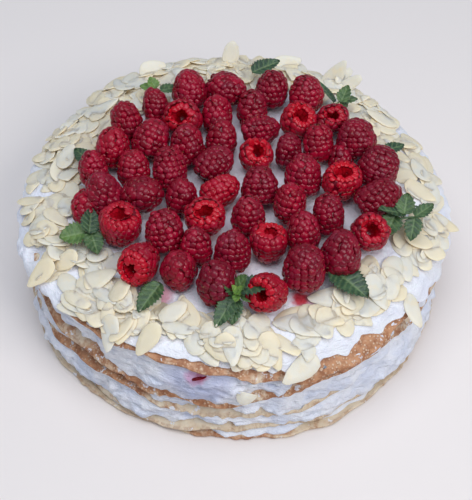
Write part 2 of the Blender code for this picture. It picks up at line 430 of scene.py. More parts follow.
JUICE = paint(196, 30, 52)
PINK = paint(226, 150, 170)
LILAC = paint(178, 150, 206)
CREPE_SKIN = crepe_finish()
PLAIN_CREAM = cream_finish("whipped_cream")
STAINED_AND_SHADED_CREAM = cream_finish("whipped_cream_with_fruit_and_painted_shade", (
    # painted shade: the first patch, bluish lilac across the front of this bed, is shadow under the crepe above; the
    # others are raspberry juice stains
    ((-16, -115, 46), 24, paint(150, 156, 205), 0.4),
    ((-18, -115, 50), 7, paint(206, 130, 176), 0.6),
    ((-14, -115, 51), 5, paint(186, 60, 100), 0.5),
    ((8, -116, 53), 7, paint(200, 150, 180), 0.4),
))
TOP_CREAM = cream_finish("whipped_cream_top", (
    # painted light: a pale lilac lift over the middle, standing in for light bounced between the berries; the others
    # are raspberry juice stains
    ((0, 0, 63), 104, paint(250, 243, 255), 0.9),
    ((37, -74, 63.5), 9, PINK, 0.7),
    ((35, -75, 63.5), 5.5, JUICE, 0.95),
    ((-37, -75, 63.5), 8, PINK, 0.8),
    ((58, -66, 63.5), 7, PINK, 0.6),
), soft=2.0, clear=0.3, shade=paint(234, 236, 250))
BERRY_SKIN = raspberry_finish()
ALMOND = almond_finish()
MINT = mint_finish()

# ---------------------------------------------------------------- crepes

AROUND = 720  # points in one turn of a layer
SHEET = 1.3  # thickness of a crepe as it shows at its rim
BEARING = np.linspace(0, 2 * np.pi, AROUND, endpoint=False)
ACROSS = (0.05, 0.25, 0.45, 0.6, 0.7, 0.76, 0.81, 0.845, 0.87, 0.89, 0.91, 0.925, 0.94, 0.953, 0.965, 0.976, 0.986,
          0.994, 1.0)

# How each crepe is browned and bubbled round its rim: ordinary browning, ordinary bubbling, then the
# places where each differs, as (bearing, half width, amount)
BROWNING = {
    "crepe_1": (0.2, 0.3, ((272, 22, 0.5), (80, 60, 0.4), (150, 30, 0.3)), ()),
    "crepe_2": (0.25, 0.2, ((60, 60, 0.5), (170, 40, 0.4)), ((60, 60, 0.6),)),
    "crepe_3": (0.45, 0.4, ((230, 24, 0.7), (276, 34, -0.35), (90, 60, 0.4)), ((232, 30, 0.8), (276, 30, -0.4))),
    "crepe_4": (0.66, 0.9, ((225, 26, -0.15), (325, 16, -0.15)), ((222, 28, -0.8), (325, 16, -0.7))),
    "crepe_5": (0.7, 0.5, ((306, 30, 0.25),), ((300, 40, 0.4),)),
}
# How far each crepe's rim is pulled down or lifted beyond the CAD's rim, as (bearing, half width, mm)
RIM_LIFT = {
    "crepe_1": (),
    "crepe_2": (),
    "crepe_3": (),
    "crepe_4": ((247, 9, -3.0),),
    "crepe_5": ((284, 9, -3.5),),
}


def crepe_radius(index, bearing):
    """Gives the ragged radius of a crepe."""
    calm = 0.55 + 0.45 * ripple(bearing, 15 + index, 3, 9)
    ragged = 0.7 * ripple(bearing, 10 + index, 9, 34) + 0.3 * calm * ripple(bearing, 20 + index, 50, 150)
    return rim_radius(index, bearing) + ragged


def crepe_top(index, radius, bearing):
    """Gives the height of a crepe's upper face, ruffled towards its rim."""
    near = smooth(94, 120, radius)
    ruffle = 1.0 * ripple(bearing, 30 + index, 5, 19) + 0.28 * ripple(bearing, 40 + index, 20, 60)
    lift = swell(bearing, RIM_LIFT[NAMES[index]]) * smooth(106, 119, radius)
    return level(index + 1, np.minimum(radius, 121), bearing) - HALF_GAP + near * ruffle * (index > 0) + lift


def on_ring(radius, height):
    """Gives the points of one row from its radii and heights at the bearings."""
    return np.stack([radius * np.cos(BEARING), radius * np.sin(BEARING), height + 0 * BEARING], -1)


def crepe_mesh(index):
    """Makes one crepe: a sheet out to its ragged rim, and back underneath."""
    name = NAMES[index]
    rim = crepe_radius(index, BEARING)
    rows, edges = [], []
    for share in ACROSS:
        radius = rim * share
        rows.append(on_ring(radius, crepe_top(index, radius, BEARING)))
        edges.append(float(share > 0.993))
    lowest = crepe_top(index, rim, BEARING)
    rows.append(on_ring(rim + 0.45, lowest - SHEET * 0.35))
    rows.append(on_ring(rim + 0.3, lowest - SHEET * 0.8))
    edges += [1.0, 1.0]
    for share in (0.995, *ACROSS[-5::-3]):
        radius = rim * share
        under = np.maximum(crepe_top(index, radius, BEARING) - SHEET, 0)
        rows.append(on_ring(radius, under))
        edges.append(0.3)
    rows = np.array(rows)
    rows[..., 2] = np.maximum(rows[..., 2], 0)
    if index:
        fine = rumple(rows, 2.4, index) * 0.22 * smooth(98, 110, np.hypot(rows[..., 0], rows[..., 1]))
        rows[..., 2] += fine
    browning, lace, browner, lacier = BROWNING[name]
    marks = {
        "browning": np.tile(browning + swell(BEARING, browner), (len(rows), 1)),
        "lace": np.tile(lace + swell(BEARING, lacier), (len(rows), 1)),
        "edge": np.array(edges)[:, None] * np.ones(AROUND),
    }
    return disc_mesh(name, rows, marks)


for index, name in enumerate(NAMES):
    if name.startswith("crepe"):
        crepe = new_piece(f"{name}_sheet", crepe_mesh(index), CREPE_SKIN)
        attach(crepe, BODY)
        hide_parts(name)

# ---------------------------------------------------------------- cream between the crepes

# For each bed of cream: rows down its side, how much of the crepe below it leaves bare, how far its upper
# edge is tucked under the crepe above, how far it bulges, and how rough it is, with places for each.
BEDS = {
    "cream_1": (6, (2.5, ()), (2.0, ()), (0.3, ()), 0.5),
    "cream_2": (18, (0.8, ((268, 26, 3.2), (318, 30, -2.0))), (2.0, ((318, 30, -1.5), (220, 24, -0.5))),
                (1.2, ((220, 26, 1.6), (315, 30, 2.0))), 1.25),
    "cream_3": (18, (1.2, ((232, 22, 5.0), (274, 26, 3.2), (318, 30, -3.5))), (1.8, ((232, 22, 3.5), (318, 28, -1.0))),
                (0.8, ((315, 30, 1.5), (232, 20, -2.0))), 1.25),
    "cream_4": (24, (1.2, ((226, 24, 4.0), (322, 13, 4.5), (288, 22, 4.2))), (2.2, ((300, 20, 1.0),)),
                (1.2, ((258, 22, 1.4), (290, 22, -2.6))), 1.25),
}


def cream_mesh(index):
    """Makes one bed of cream, from inside the crepe above it, down its lumpy side, to inside the crepe below it."""
    steps, (bare, barer), (tuck, tucked), (bulge, bulging), rough = BEDS[NAMES[index]]
    above, below = crepe_radius(index + 1, BEARING), crepe_radius(index - 1, BEARING)
    high = above - tuck - swell(BEARING, tucked)
    low = below - (bare + swell(BEARING, barer)) * (1 + 0.5 * ripple(BEARING, 80 + index, 4, 15))
    low -= 1.0 * ripple(BEARING, 50 + index, 12, 60)
    belly = bulge + swell(BEARING, bulging) + 0.5 * ripple(BEARING, 60 + index, 6, 26)
    rows = [
        on_ring(high * share, crepe_top(index + 1, high * share, BEARING) - SHEET / 2)
        for share in (0.1, 0.5, 0.8, 0.9, 0.97)
    ]
    sides = len(rows)
    for step in range(steps + 1):
        share = step / steps
        radius = high * (1 - share) + low * share + belly * 4 * share * (1 - share)
        top = crepe_top(index + 1, np.minimum(radius, above), BEARING) - SHEET * 0.6
        bottom = crepe_top(index - 1, np.minimum(radius, below), BEARING) - SHEET * 0.2
        rows.append(on_ring(radius, top * (1 - share) + bottom * share))
    rows += [
        on_ring(low * share, crepe_top(index - 1, low * share, BEARING) - SHEET / 2)
        for share in (0.97, 0.85, 0.6, 0.1)
    ]
    rows = np.array(rows)
    out = np.stack([np.cos(BEARING), np.sin(BEARING), 0 * BEARING], -1)
    squeezed = rows * (0.6, 0.6, 1.9)
    folds = 1 - 2 * np.abs(rumple(rows * (0.45, 0.45, 1.3), 5, index + 4))
    lumps = 1.2 * rumple(rows, 10, index) + 1.0 * rumple(squeezed, 4, index + 9) + 0.8 * rumple(squeezed, 2, 3)
    lumps += 1.5 * folds * smooth(-0.2, 0.5, rumple(rows, 14, index + 2))
    side = np.zeros(len(rows))
    side[sides : sides + steps + 1] = np.sin(np.linspace(0.15, math.pi - 0.15, steps + 1)) ** 0.5
    rows += out * (rough * lumps * side[:, None])[..., None]
    rows[..., 2] += 0.35 * rough * side[:, None] * rumple(squeezed, 3.2, index + 30)
    return disc_mesh(NAMES[index], rows)


for index, name in enumerate(NAMES):
    if name in BEDS:
        cream = new_piece(f"{name}_bed", cream_mesh(index), STAINED_AND_SHADED_CREAM if name == "cream_4" else PLAIN_CREAM)
        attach(cream, BODY)
        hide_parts(name)

# ---------------------------------------------------------------- raspberries: where they are

# name, width, length, the way the tip points (bearing, height). A tip below level shows the hollow.
RASPBERRIES = (
    ("a1", 21, 22, 100, 65), ("a2", 16, 20, 100, 60), ("a3", 22, 21, 75, -62), ("a4", 17, 21, 95, 60),
    ("a5", 20, 23, 320, 15), ("a6", 19, 22, 110, 60), ("a7", 20, 22, 60, 40), ("a8", 18, 22, 110, 60),
    ("a9", 17, 20, 80, 60), ("a10", 20, 21, 90, 70), ("a11", 16, 20, 100, 60), ("a12", 18, 20, 90, 65),
    ("a13", 20, 23, 95, 50), ("a14", 19, 22, 40, 25), ("b1", 20, 21, 80, 65), ("b2", 16, 20, 90, 60),
    ("b3", 18, 21, 10, 20), ("b4", 20, 21, 90, 60), ("b5", 21, 20, 120, -60), ("b6", 18, 20, 95, -68),
    ("b7", 22, 22, 100, 60), ("b8", 17, 21, 95, 60), ("b9", 19, 19, 90, -62), ("b10", 16, 20, 90, 60),
    ("b12", 20, 22, 90, 65), ("b13", 22, 21, 130, -80), ("b14", 22, 23, 60, 55), ("b15", 20, 21, 95, 60),
    ("b16", 21, 24, 20, 30), ("c1", 19, 21, 120, 60), ("c2", 20, 22, 330, 30), ("c3", 23, 21, 290, -84),
    ("c4", 20, 22, 100, 55), ("c5", 17, 20, 90, 70), ("c6", 18, 21, 30, 20), ("c7", 21, 20, 90, -80),
    ("c8", 16, 20, 90, 70), ("c9", 21, 22, 62, -28), ("c10", 19, 21, 270, 70), ("c11", 20, 22, 90, 75),
    ("c12", 19, 21, 100, 65), ("d1", 18, 22, 90, 65), ("d2", 19, 21, 80, 65), ("d3", 17, 21, 100, 60),
    ("d4", 19, 21, 100, 65), ("d5", 20, 19, 250, -82), ("d6", 20, 21, 95, -55), ("d7", 21, 22, 80, 60),
    ("d8", 22, 23, 90, 65), ("d9", 20, 21, 55, -35),
)
# Two more that lie low between the others: name, width, length, tip bearing and height, then the middle
LOW_RASPBERRIES = (("b11", 15, 17, 90, 60, (60, 20, 70)), ("c1b", 16, 18, 110, 55, (-80, -21, 70.5)))
RIPER = {"a2": 0.4, "a6": 0.3, "a9": 0.4, "a13": 0.2, "a14": 0.5, "b1": 0.6, "b2": 0.4, "b14": 0.7, "b15": 0.5, "b16": 0.9, "b10": 0.4,
         "b7": 0.4, "c5": 0.4, "c11": 0.7, "c12": 0.4, "c2": 0.5, "c1": 0.3, "d7": 0.5, "d9": 0.4, "d8": 0.4, "d3": 0.5,
         "d1": 0.3, "c9": 0.3, "b3": 0.2}
REDDER = {"a3": 0.4, "b5": 0.7, "b9": 0.8, "b13": 0.9, "c6": 0.8, "c7": 0.7, "d9": 0.7, "d5": 0.4, "c9": 0.5, "a10": 0.4}

# The CAD's profile of a raspberry, tip upwards: (share of the half width, share of the length)
CAD_PROFILE = ((0.0, 1.0), (0.70, 0.82), (1.0, 0.45), (0.90, 0.13), (0.62, 0.0), (0.48, 0.06), (0.36, 0.5), (0.0, 0.58))
CAD_SEGMENTS = 8


def berry_matrix(bearing, height):
    """Gives the turn that lays a raspberry along its axis."""
    return np.array(Euler((0.0, math.radians(90 - height), math.radians(bearing))).to_matrix())


def berry_middle(name, width, length, bearing, height):
    """Gives a CAD raspberry's middle in millimetres, from its node's box and the profile that fills the box."""
    low, high = (np.array(corner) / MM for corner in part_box(f"raspberry_{name}"))
    around = np.arange(CAD_SEGMENTS) * 2 * np.pi / CAD_SEGMENTS
    points = np.array([
        (share / 2 * width * math.cos(turn), share / 2 * width * math.sin(turn), (along - 0.5) * length)
        for share, along in CAD_PROFILE for turn in around
    ])
    points = points @ berry_matrix(bearing, height).T
    return (low + high) / 2 - (points.min(0) + points.max(0)) / 2


BERRIES = [(*row, berry_middle(*row)) for row in RASPBERRIES]
BERRIES += [(*row[:5], np.array(row[5], float)) for row in LOW_RASPBERRIES]

# ---------------------------------------------------------------- cream on top

TOP = NAMES.index("cream_top")
TOP_RINGS = 66
# Where the top cream hangs over the rim, as (bearing, half width, mm)
DRIPS = ((184, 6, 4.0), (197, 5, 6.0), (206, 7, 8.0), (214, 4, 4.0), (290, 5, 5.0), (300, 6, 2.0), (338, 8, 3.0),
         (352, 7, 4.5), (12, 8, 3.0), (60, 9, 4.0), (95, 7, 3.0), (130, 9, 4.0), (160, 7, 5.0))
# Where it stops short of the rim, as (bearing, half width, mm)
DRAWN_BACK = ((310, 24, 4.5), (240, 16, 1.5), (330, 10, 2.0))
# Where the top cream is scraped thin, so that the crepe shows: (x, y, radius)
BARE_SPOTS = ((-107.0, -46.0, 4.0), (-95.0, 55.0, 6.0), (-84.0, -78.0, 6.0), (-76.0, -84.0, 5.0))


def top_height(points):
    """Gives the height of the cream's upper face at x, y in millimetres, with strokes and dents."""
    radius, bearing = np.hypot(points[..., 0], points[..., 1]), np.arctan2(points[..., 1], points[..., 0])
    height = level(TOP + 1, np.minimum(radius, 122), bearing) - HALF_GAP
    flat = np.stack([points[..., 0], points[..., 1], 0 * radius], -1)
    height = height + 0.7 * rumple(flat, 17, 1) + 0.45 * rumple(flat, 6, 2) + 0.16 * rumple(flat, 2.2, 3)
    for _, width, length, bearing_of, lean, middle in BERRIES:
        away = np.hypot(points[..., 0] - middle[0], points[..., 1] - middle[1])
        height = height + 0.9 * np.exp(-(((away - width * 0.42) / 2.6) ** 2))
    return height - 0.5


def top_mesh():
    """Makes the cream on top: stroked face, soft lip with drips, and an underside inside the top crepe."""
    crepe_rim = crepe_radius(TOP - 1, BEARING)
    rim = rim_radius(TOP, BEARING) + 0.9 * ripple(BEARING, 71, 12, 40) + 0.4 * ripple(BEARING, 72, 40, 110)
    rim -= swell(BEARING, DRAWN_BACK)
    drip = 1.3 + swell(BEARING, DRIPS) + 0.5 * ripple(BEARING, 73, 10, 50)
    drip *= smooth(-4, 1, rim - crepe_rim) * 0.8 + 0.2
    rim = rim + 0.15 * swell(BEARING, DRIPS)
    rows = []
    for ring in range(TOP_RINGS + 1):
        share = (ring + 1) / (TOP_RINGS + 1)
        radius = rim * share**0.8
        row = on_ring(radius, 0)
        row[..., 2] = top_height(row)
        thin = sum(np.exp(-((np.hypot(row[..., 0] - x, row[..., 1] - y) / size) ** 4)) for x, y, size in BARE_SPOTS)
        row[..., 2] -= 3.6 * thin
        row[..., 2] -= 1.1 * smooth(-4, 0, radius - rim) ** 2
        rows.append(row)
    edge = rows[-1][:, 2]
    for out, down in ((0.7, 0.22), (0.9, 0.5), (0.6, 0.8), (0.0, 1.0), (-1.2, 0.95)):
        rows.append(on_ring(rim + out, edge - 0.4 - drip * down))
    hug = np.minimum(rim - 2.5, crepe_rim - 1.0)
    for share in (1.0, 0.97, 0.9, 0.7, 0.1):
        radius = hug * share
        rows.append(on_ring(radius, crepe_top(TOP - 1, radius, BEARING) - SHEET / 2))
    rows = np.array(rows)
    lip = slice(TOP_RINGS - 3, TOP_RINGS + 6)
    out = np.stack([np.cos(BEARING), np.sin(BEARING), 0 * BEARING], -1)
    rows[lip] += out * (0.5 * rumple(rows[lip], 3.5, 5) + 0.25 * rumple(rows[lip], 1.6, 6))[..., None]
    return disc_mesh("cream_top", rows)


top_cream = new_piece("cream_top_spread", top_mesh(), TOP_CREAM)
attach(top_cream, BODY)
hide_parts("cream_top")

# ---------------------------------------------------------------- what is scattered


def scatter_tree():
    """Builds the nodes that put one of a set of small shapes at each point, with the turn, size and kind it carries."""
    tree = bpy.data.node_groups.new("scatter", "GeometryNodeTree")
    for name, kind in (("Points", "Geometry"), ("Shapes", "Collection"), ("Bed", "Object"), ("Size", "Float"),
                       ("Unevenness", "Float"), ("Seed", "Int"), ("Finish", "Material")):
        tree.interface.new_socket(name, in_out="INPUT", socket_type=f"NodeSocket{kind}")
    tree.interface.new_socket("Geometry", in_out="OUTPUT", socket_type="NodeSocketGeometry")

    def node(kind, settings=None, sockets=None):
        made = tree.nodes.new(kind)
        for key, value in (settings or {}).items():
            setattr(made, key, value)
        for key, value in (sockets or {}).items():
            if isinstance(value, bpy.types.NodeSocket):
                tree.links.new(value, made.inputs[key])
            else:
                made.inputs[key].default_value = value
        return made

    given = node("NodeGroupInput").outputs

    def carried(name, kind):
        return node("GeometryNodeInputNamedAttribute", {"data_type": kind}, {"Name": name}).outputs["Attribute"]

    least = node("ShaderNodeMath", {"operation": "SUBTRACT"}, {0: 1.0, 1: given["Unevenness"]}).outputs[0]
    most = node("ShaderNodeMath", {"operation": "ADD"}, {0: 1.0, 1: given["Unevenness"]}).outputs[0]
    chance = node("FunctionNodeRandomValue", {"data_type": "FLOAT"}, {2: least, 3: most, "Seed": given["Seed"]})
    factor = node("ShaderNodeMath", {"operation": "MULTIPLY"}, {0: chance.outputs[1], 1: given["Size"]}).outputs[0]
    size = node("ShaderNodeVectorMath", {"operation": "SCALE"}, {0: carried("size", "FLOAT_VECTOR"), "Scale": factor})
    turn = node("FunctionNodeEulerToRotation", None, {"Euler": carried("turn", "FLOAT_VECTOR")}).outputs[0]
    shapes = node("GeometryNodeCollectionInfo", None,
                  {"Collection": given["Shapes"], "Separate Children": True, "Reset Children": True}).outputs[0]
    placed = node("GeometryNodeInstanceOnPoints", None, {
        "Points": given["Points"], "Instance": shapes, "Pick Instance": True,
        "Instance Index": carried("kind", "INT"), "Rotation": turn, "Scale": size.outputs[0],
    }).outputs[0]
    bed = node("GeometryNodeObjectInfo", None, {"Object": given["Bed"]}).outputs["Geometry"]
    real = node("GeometryNodeRealizeInstances", None, {"Geometry": placed}).outputs[0]
    joined = node("GeometryNodeJoinGeometry")
    tree.links.new(real, joined.inputs[0])
    tree.links.new(bed, joined.inputs[0])
    finished = node("GeometryNodeSetMaterial", None, {"Geometry": joined.outputs[0], "Material": given["Finish"]})
    tree.links.new(finished.outputs[0], node("NodeGroupOutput").inputs[0])
    return tree


SCATTER = scatter_tree()


def shape_set(name, meshes):
    """Keeps meshes as the shapes that a scatter picks from, out of the scene."""
    shapes = bpy.data.collections.new(name)
    for number, mesh in enumerate(meshes):
        shapes.objects.link(bpy.data.objects.new(f"{name}_{number:02d}", mesh))
    return shapes


def scattered(name, spots, shapes, finish, size=1.0, unevenness=0.0, seed=1, bed=None):
    """Makes one piece with a shape at each spot: (place in mm, turn, size, kind, then marks by name)."""
    places, turns, sizes, kinds, marks = spots
    mesh = new_mesh(name, places, [np.zeros((0, 3), int)], {"turn": turns, "size": sizes, **marks})
    kind = mesh.attributes.new("kind", "INT", "POINT")
    kind.data.foreach_set("value", np.asarray(kinds, np.int32))
    piece = new_piece(name, mesh, None)
    modifier = piece.modifiers.new("scatter", "NODES")
    modifier.node_group = SCATTER
    sockets = {item.name: item.identifier for item in SCATTER.interface.items_tree if item.in_out == "INPUT"}
    values = {"Shapes": shapes, "Bed": bed, "Size": size, "Unevenness": unevenness, "Seed": seed, "Finish": finish}
    for key, value in values.items():
        if value is not None:
            modifier[sockets[key]] = value
    bpy.context.view_layer.update()
    graph = bpy.context.evaluated_depsgraph_get()
    made = bpy.data.meshes.new_from_object(piece.evaluated_get(graph))
    piece.modifiers.remove(modifier)
    piece.data = made
    bpy.data.meshes.remove(mesh)
    made.name = name
    return piece


def turns_to(ways, spins=None):
    """Gives the turns, as Euler angles, that point local +Z each way, with local +X towards each spin's way."""
    turns = []
    for number, way in enumerate(ways):
        up = Vector(way).normalized()
        side = Vector(spins[number]) if spins is not None else up.orthogonal()
        side = (side - up * side.dot(up)).normalized()
        turns.append(Matrix((side, up.cross(side), up)).transposed().to_euler())
    return np.array([tuple(turn) for turn in turns])


# ---------------------------------------------------------------- raspberries: what they are made of

DRUPELET = 3.35  # spacing of the drupelets
PROUD = 1.2  # how far a drupelet stands out of the berry's core
# Outline that the drupelets sit on, from the tip to the lip of the hollow: (share of the half width, of the length)
BERRY_OUTLINE = ((0.0, 1.0), (0.32, 0.975), (0.58, 0.90), (0.78, 0.78), (0.91, 0.63), (0.985, 0.47), (1.0, 0.33),
                 (0.97, 0.19), (0.89, 0.08), (0.76, 0.01), (0.64, 0.0))
HOLLOW_OUTLINE = ((0.55, 0.04), (0.48, 0.12), (0.43, 0.24), (0.39, 0.36), (0.36, 0.48))


def drupelet_mesh():
    """Makes one drupelet, half buried: a small domed bead with a mark for how proud each part stands, which the
    raspberry finish turns into painted shade at its base.
    """
    around, heights = 12, ((0.96, -0.3, 0.0), (1.0, 0.15, 0.15), (0.9, 0.52, 0.5), (0.62, 0.85, 0.9), (0.3, 0.97, 1.0))
    turn = np.arange(around) * 2 * np.pi / around
    points = [(r * math.cos(t), r * math.sin(t), z) for r, z, _ in heights for t in turn] + [(0, 0, 1.0), (0, 0, -0.6)]
    rows = len(heights)
    here, there = np.arange(around), (np.arange(around) + 1) % around
    quads = np.concatenate([
        np.stack([row * around + here, row * around + there, (row + 1) * around + there, (row + 1) * around + here], 1)
        for row in range(rows - 1)
    ])
    last = (rows - 1) * around
    caps = np.concatenate([
        np.stack([last + here, last + there, np.full(around, rows * around)], 1),
        np.stack([there, here, np.full(around, rows * around + 1)], 1),
    ])
    depth = np.concatenate([np.repeat([mark for _, _, mark in heights], around), [1.0, 0.0]])
    return new_mesh("drupelet", np.array(points) / MM, [quads, caps], {"depth": depth, "hair": 0 * depth})


def hair_mesh():
    """Makes one dried style: a thin bent three-sided hair that tapers, standing on a drupelet."""
    points, sides, joints = [], 3, 4
    for joint in range(joints):
        share = joint / (joints - 1)
        thick = 0.1 * (1 - 0.6 * share)
        for side in range(sides):
            turn = 2 * math.pi * side / sides
            points.append((thick * math.cos(turn) + 0.9 * share**2, thick * math.sin(turn), 0.6 + 1.9 * share))
    quads = [
        (joint * sides + side, joint * sides + (side + 1) % sides, (joint + 1) * sides + (side + 1) % sides,
         (joint + 1) * sides + side)
        for joint in range(joints - 1) for side in range(sides)
    ]
    last = (joints - 1) * sides
    caps = [(2, 1, 0), (last, last + 1, last + 2)]
    ones = np.ones(len(points))
    return new_mesh("style", np.array(points) / MM, [quads, caps], {"depth": ones, "hair": ones})


BERRY_SHAPES = shape_set("raspberry_bits", [drupelet_mesh(), hair_mesh()])


def outline_rows(outline, half, length):
    """Gives places along an outline one drupelet apart: (radius, height, outward way as radius and height)."""
    path = np.array([(share * half, (along - 0.5) * length) for share, along in outline])
    legs = np.hypot(*np.diff(path, axis=0).T)
    total, marks = legs.sum(), np.concatenate([[0], np.cumsum(legs)])
    count = max(2, round(total / (DRUPELET * 0.9)) + 1)
    stops = np.linspace(0, total, count)
    radius, height = (np.interp(stops, marks, path[:, axis]) for axis in (0, 1))
    before, after = np.clip(stops - 0.6, 0, total), np.clip(stops + 0.6, 0, total)
    along_r = np.interp(after, marks, path[:, 0]) - np.interp(before, marks, path[:, 0])
    along_z = np.interp(after, marks, path[:, 1]) - np.interp(before, marks, path[:, 1])
    size = np.hypot(along_r, along_z)
    return list(zip(radius, height, -along_z / size, along_r / size))


def berry_core(name, half, length, hollow):
    """Makes the berry's inner body, closed, with its hollow, for the drupelets to sit on."""
    inner = [(share, along) for share, along in HOLLOW_OUTLINE] if hollow else [(0.4, 0.06), (0.3, 0.4)]
    outline = [*BERRY_OUTLINE[1:], *inner]
    around = 20
    turn = np.linspace(0, 2 * np.pi, around, endpoint=False)
    rows = np.array([
        np.stack([share * half * np.cos(turn), share * half * np.sin(turn), np.full(around, (along - 0.5) * length)], -1)
        for share, along in outline
    ])
    points = np.concatenate([rows.reshape(-1, 3), [(0, 0, length / 2)], [(0, 0, 0.02 * length)]])
    zero = np.zeros(len(points))
    wall = np.repeat([float(share < 0.6 and along > 0.02) for share, along in outline], around)
    wall = np.concatenate([wall, [0.0, 0.0]]) * hollow
    # the core's depth of 0.3 paints it dark, as painted shade in the crevices between the drupelets
    marks = {"depth": 0.3 + wall * 0.15, "hair": zero, "tone": zero + 0.3, "bright": wall * 0.7, "ripe": zero + 0.3}
    return new_mesh(name, points, disc_faces(len(rows), around), marks)


def make_berry(number, name, width, length, bearing, height, middle):
    """Makes one raspberry from its core, its drupelets and its hairs."""
    draw = np.random.default_rng(500 + number)
    half, tall = width / 2 - PROUD, length - 2 * PROUD
    hollow = height < 20
    places, ways, spins, sizes, kinds, tones, brights, ripes = [], [], [], [], [], [], [], []
    redness = REDDER.get(name, draw.uniform(0, 0.22))
    ripe = RIPER.get(name, 0.0)
    squash = 1 + draw.uniform(-0.06, 0.06)
    coarse = draw.uniform(0.96, 1.16)
    spiral = draw.choice((-1, 1))

    def ring(radius, along, out_r, out_z, phase, shape, bright, hairs):
        """Sets one ring of drupelets, each shape times the usual along, across and up."""
        count = max(1, round(2 * math.pi * radius / (DRUPELET * coarse * shape[1])))
        for bead in range(count):
            turn = 2 * math.pi * (bead + phase + draw.uniform(-0.2, 0.2)) / count
            flat = np.array([math.cos(turn), math.sin(turn), 0])
            way = flat * out_r + np.array([0, 0, out_z])
            side = np.array([-flat[0] * out_z, -flat[1] * out_z, out_r])
            swollen = draw.uniform(0.88, 1.14)
            place = flat * radius + np.array([0, 0, along]) + way * (draw.uniform(-0.35, 0.1) + 0.5 * (swollen - 1))
            place += side * (draw.uniform(-0.4, 0.4) + DRUPELET * 0.8 * (bead / count - 0.5) * spiral)
            places.append(place)
            ways.append(way + draw.uniform(-0.12, 0.12, 3))
            spins.append(side)
            sizes.append(np.array([2.25 * shape[0], 2.25 * shape[1], 1.55 * shape[2]]) * coarse * swollen * MM)
            kinds.append(0)
            tones.append(draw.uniform(0, 1))
            brights.append(bright + redness * 0.5)
            ripes.append(ripe)
            if hairs and draw.uniform() < 0.5:
                places.append(place)
                ways.append(way + draw.uniform(-0.6, 0.6, 3))
                spins.append(draw.normal(size=3))
                sizes.append(np.full(3, draw.uniform(0.75, 1.1) * MM))
                kinds.append(1)
                tones.append(0.5)
                brights.append(0.0)
                ripes.append(0.0)

    phase = 0.0
    for radius, along, out_r, out_z in outline_rows(BERRY_OUTLINE, half, tall):
        phase += draw.uniform(0.35, 0.65)
        lip = hollow and along < -0.42 * tall
        ring(radius, along, out_r, out_z, phase, (1.0, 0.78, 0.8) if lip else (1, 1, 1), 0.45 * lip, not lip)
    if hollow:
        for radius, along, out_r, out_z in outline_rows(HOLLOW_OUTLINE, half, tall):
            phase += draw.uniform(0.35, 0.65)
            ring(radius, along, out_r, out_z, phase, (1.1, 0.6, 0.28), 0.8, False)

    core = bpy.data.objects.new("core", berry_core("core", half + 0.25, tall + 0.4, hollow))
    marks = {"tone": np.array(tones), "bright": np.array(brights), "ripe": np.array(ripes)}
    spots = (np.array(places), turns_to(ways, spins), np.array(sizes), kinds, marks)
    berry = scattered(f"raspberry_{name}_fruit", spots, BERRY_SHAPES, BERRY_SKIN, unevenness=0.04, seed=number, bed=core)
    bpy.data.objects.remove(core)
    points = np.empty(len(berry.data.vertices) * 3, np.float32)
    berry.data.vertices.foreach_get("co", points)
    points = points.reshape(-1, 3) / MM
    points *= (squash, 2 - squash, 1)
    points += 0.55 * np.stack([rumple(points, 8, number + axis / 3) for axis in range(3)], -1)
    points = points @ berry_matrix(bearing, height).T + middle
    berry.data.vertices.foreach_set("co", (points * MM).astype(np.float32).ravel())
    berry.data.shade_smooth()
    berry.data.update()
    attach(berry, BODY)
    if any(row[0] == name for row in RASPBERRIES):
        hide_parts(f"raspberry_{name}")


for number, row in enumerate(BERRIES):
    make_berry(number, *row)

# ---------------------------------------------------------------- a crushed raspberry in the filling


def smear_mesh(name, bearing, height, radius, wide, tall, deep):
    """Makes a crushed scrap of raspberry, a flat ragged lens that lies in the side of the cream."""
    around, rings = 28, 9
    turn = np.linspace(0, 2 * np.pi, around, endpoint=False)
    rows = []
    for ring in range(rings):
        tilt = math.pi * (ring + 0.5) / rings
        across, out = math.sin(tilt), math.cos(tilt)
        ragged = 1 + 0.22 * np.sin(3 * turn + 1) + 0.12 * np.sin(7 * turn) + 0.1 * np.sin(11 * turn + 2)
        along = wide / 2 * across * np.cos(turn) * ragged
        up = tall / 2 * across * np.sin(turn) * (1 - 0.8 * np.abs(np.cos(turn))) * ragged + 0.5 * along
        angle = math.radians(bearing) + along / radius
        far = radius + deep / 2 * out + 0.25 * np.sin(5 * turn + ring)
        rows.append(np.stack([far * np.cos(angle), far * np.sin(angle), height + up], -1))
    rows = np.array(rows)[::-1][:, ::1]
    ones = np.ones(rows.shape[:2])
    return disc_mesh(name, rows, {"tone": ones * 0, "depth": ones * 0.3, "bright": ones * 0.1, "hair": ones * 0, "ripe": ones})


smear = new_piece("crushed_raspberry", smear_mesh("crushed_raspberry", 260.8, 49.3, 118.0, 10.5, 1.8, 2.4), BERRY_SKIN)
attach(smear, BODY)

# ---------------------------------------------------------------- flaked almonds

# Kinds of flake: length, width, how pointed, how far the far end is cut off (share), curl
FLAKE_KINDS = (
    (18.5, 11.0, 0.14, 1.0, 0.4), (21.5, 11.0, 0.30, 1.0, 0.7), (16.5, 10.5, 0.22, 1.0, 0.3), (22.5, 10.0, 0.36, 1.0, 0.8),
    (15.0, 11.5, 0.08, 1.0, 0.4), (20.0, 10.0, 0.20, 1.0, 0.9), (19.0, 11.5, 0.20, 0.25, 0.4), (17.0, 11.0, 0.12, 0.0, 0.3),
    (13.0, 8.5, 0.15, 1.0, 0.2), (19.5, 7.5, 0.15, 0.8, 0.6),
)
FLAKE_SIDES = 16
FLAKE_THICK = 0.5


